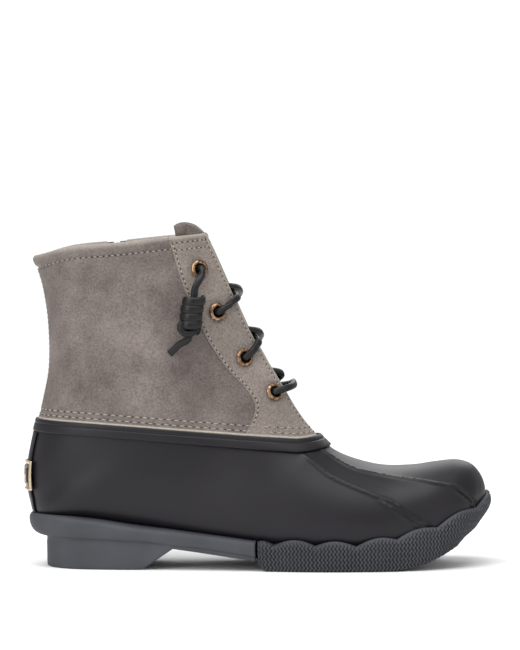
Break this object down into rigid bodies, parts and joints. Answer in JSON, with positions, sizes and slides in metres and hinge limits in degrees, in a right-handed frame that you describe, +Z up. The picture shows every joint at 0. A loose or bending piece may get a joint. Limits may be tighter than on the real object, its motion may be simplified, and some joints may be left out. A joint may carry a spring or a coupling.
{
  "type": "deck boot",
  "caption": "Right laced ankle deck boot with a rubber shell, leather shaft, siped forefoot wrap, inner side zip and knotted lace ends.",
  "frame": {"origin": "middle of the heel's flat tread, on the surface that the boot stands on", "axes": "+X along the boot to the toe, +Y to the inner (medial) side, +Z up"},
  "size_m": [0.2812, 0.0959, 0.2059],
  "materials": {
    "black_rubber": "satin moulded rubber",
    "grey_rubber": "matte moulded rubber",
    "grey_leather": "waxed nubuck",
    "tongue_leather": "waxed nubuck",
    "black_lace": "waxed rawhide",
    "aged_brass": "antiqued",
    "pale_gold": "polished",
    "fleece": "microfleece",
    "foam": "open-cell foam",
    "board": "pressed cellulose board",
    "steel": "plain",
    "black_tape": "woven polyester"
  },
  "bodies": {
    "boot": {"rubber_shell": "black_rubber", "shell_top_band": "black_rubber", "heel_strip": "black_rubber", "heel_badge": "pale_gold", "shank": "steel", "outsole": "grey_rubber", "forefoot_tread": "grey_rubber", "lateral_quarter": "grey_leather", "medial_rear_quarter": "grey_leather", "medial_front_quarter": "grey_leather", "lateral_facing": "grey_leather", "medial_facing": "grey_leather", "lateral_facing_lining": "grey_leather", "medial_facing_lining": "grey_leather", "eyelet_lateral_1": "aged_brass", "eyelet_lateral_2": "aged_brass", "eyelet_lateral_3": "aged_brass", "eyelet_lateral_4": "aged_brass", "eyelet_medial_1": "aged_brass", "eyelet_medial_2": "aged_brass", "eyelet_medial_3": "aged_brass", "eyelet_medial_4": "aged_brass", "insole_board": "board", "fleece_lining": "fleece", "footbed": "foam", "collar_padding_rear": "foam", "collar_padding_front": "foam", "tongue": "tongue_leather", "gusset_lateral": "tongue_leather", "gusset_medial": "tongue_leather", "lace": "black_lace", "zip_tape_rear": "black_tape", "zip_tape_front": "black_tape", "zip_teeth_rear": "aged_brass", "zip_teeth_front": "aged_brass", "zip_top_stop_rear": "aged_brass", "zip_top_stop_front": "aged_brass", "zip_bottom_stop": "aged_brass", "zip_guard": "black_tape"},
    "slider": {"zip_slider": "aged_brass"},
    "pull": {"zip_pull": "aged_brass"},
    "lateral_end": {"lateral_lace_end": "black_lace", "lateral_barrel_knot": "black_lace"},
    "medial_end": {"medial_lace_end": "black_lace", "medial_barrel_knot": "black_lace"}
  },
  "joints": [
    {"name": "zip_slide", "type": "slide", "parent": "boot", "child": "slider", "axis": [-0.0611, -0.0162, -0.998], "range_m": [0, 0.076]},
    {"name": "zip_pull_swing", "type": "hinge", "parent": "slider", "child": "pull", "pos_m": [0.00863, 0.03509, 0.17851], "axis": [0.983, 0.1723, -0.063], "range_deg": [0, 150]},
    {"name": "lateral_end_swing", "type": "hinge", "parent": "boot", "child": "lateral_end", "pos_m": [0.0611, -0.02739, 0.1783], "axis": [0.2, -0.9798, 0], "range_deg": [-25, 20]},
    {"name": "medial_end_swing", "type": "hinge", "parent": "boot", "child": "medial_end", "pos_m": [0.0611, 0.0275, 0.1783], "axis": [0.2, 0.9798, 0], "range_deg": [-20, 25]}
  ]
}
